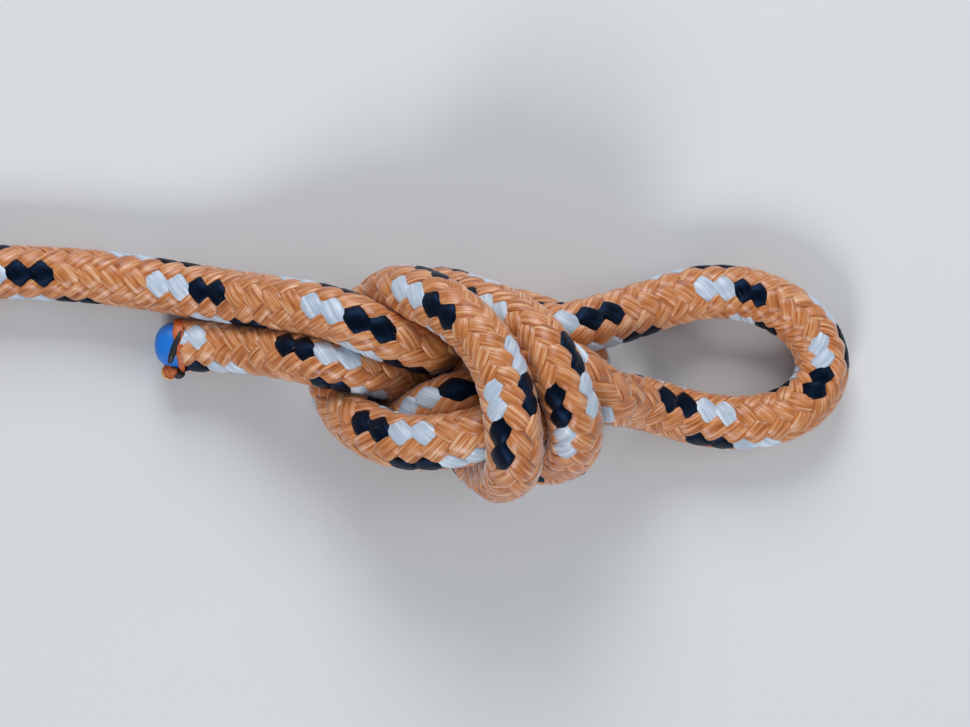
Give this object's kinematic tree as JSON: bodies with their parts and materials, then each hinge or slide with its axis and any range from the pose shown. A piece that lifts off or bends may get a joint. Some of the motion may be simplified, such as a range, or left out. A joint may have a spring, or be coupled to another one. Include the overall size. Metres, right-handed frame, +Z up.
{
  "type": "climbing rope",
  "caption": "Braided kernmantle rope with a tight figure-eight loop at one end, a heat-sealed tail and the rest folded in a tied hank.",
  "frame": {"origin": "middle of the box's base, on the surface that the rope lies on", "axes": "+X from the hank along the standing part to the loop, +Z up from the surface"},
  "size_m": [0.3514, 0.0601, 0.0394],
  "materials": {
    "braided_sheath": "woven polyamide, satin",
    "core_yarn": "twisted polyamide, satin",
    "melted_core": "melted and set, glossy",
    "melted_sheath": "melted and set, glossy",
    "tie_webbing": "woven webbing, matte"
  },
  "bodies": {
    "root": {"standing_sheath": "braided_sheath", "knot_entry_sheath": "braided_sheath", "loop_sheath": "braided_sheath", "knot_return_sheath": "braided_sheath", "tail_sheath": "braided_sheath", "standing_core": "core_yarn", "knot_entry_core": "core_yarn", "loop_core": "core_yarn", "knot_return_core": "core_yarn", "tail_core": "core_yarn", "tail_core_seal": "melted_core", "tail_sheath_seal": "melted_sheath", "hank": "braided_sheath", "hank_tie": "tie_webbing", "hank_end_seal": "melted_sheath"}
  },
  "joints": []
}
